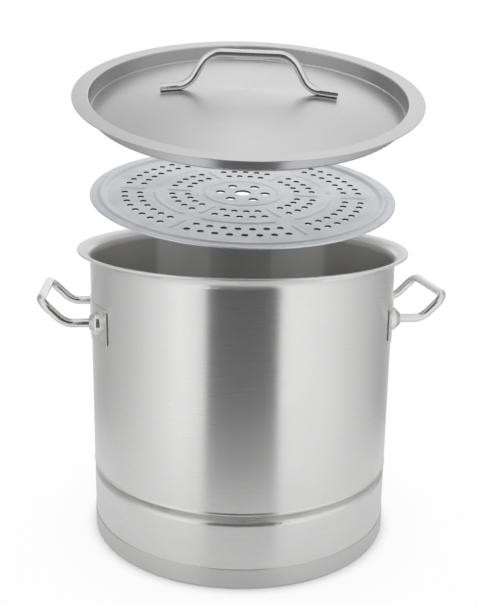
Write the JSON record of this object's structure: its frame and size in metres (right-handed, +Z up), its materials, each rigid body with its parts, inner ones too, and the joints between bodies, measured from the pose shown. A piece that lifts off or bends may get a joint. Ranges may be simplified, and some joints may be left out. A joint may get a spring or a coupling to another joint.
{
  "type": "steamer pot",
  "caption": "Tall round steel stock pot with a flared lip, bent rod handles, a recessed domed lid and a perforated steam rack, shown with the lid and the rack lifted off.",
  "frame": {"origin": "middle of the flat underside of the base", "axes": "+Z up, +X through the right side handle, front is -Y"},
  "size_m": [0.476, 0.4075, 0.5903],
  "materials": {
    "pot_shell": "brushed",
    "base_core": "rolled",
    "base_cap": "brushed",
    "handle_plate": "polished",
    "handle_rod": "polished stainless steel",
    "lid_cover": "circular brushed",
    "steam_rack": "satin"
  },
  "bodies": {
    "pot": {"pot_shell": "pot_shell", "base_core": "base_core", "base_cap": "base_cap", "right_handle_plate": "handle_plate", "left_handle_plate": "handle_plate", "right_handle_rod": "handle_rod", "left_handle_rod": "handle_rod"},
    "lid": {"lid_cover": "lid_cover", "lid_handle": "handle_rod"},
    "rack": {"steam_rack": "steam_rack"}
  },
  "joints": [
    {"name": "lid_lift", "type": "hinge", "parent": "pot", "child": "lid", "pos_m": [-0.03378, -0.53694, 0.3504], "axis": [0.9979, -0.0628, -0.0148], "range_deg": [-19.3, 0]},
    {"name": "rack_lift", "type": "hinge", "parent": "pot", "child": "rack", "pos_m": [-0.00925, -1.51497, 0.207], "axis": [0.9999, -0.0061, 0.0087], "range_deg": [-12.23, 0]}
  ],
  "couplings": [
    {"joint": "rack_lift", "follows": "lid_lift", "ratio": 0.63368}
  ]
}
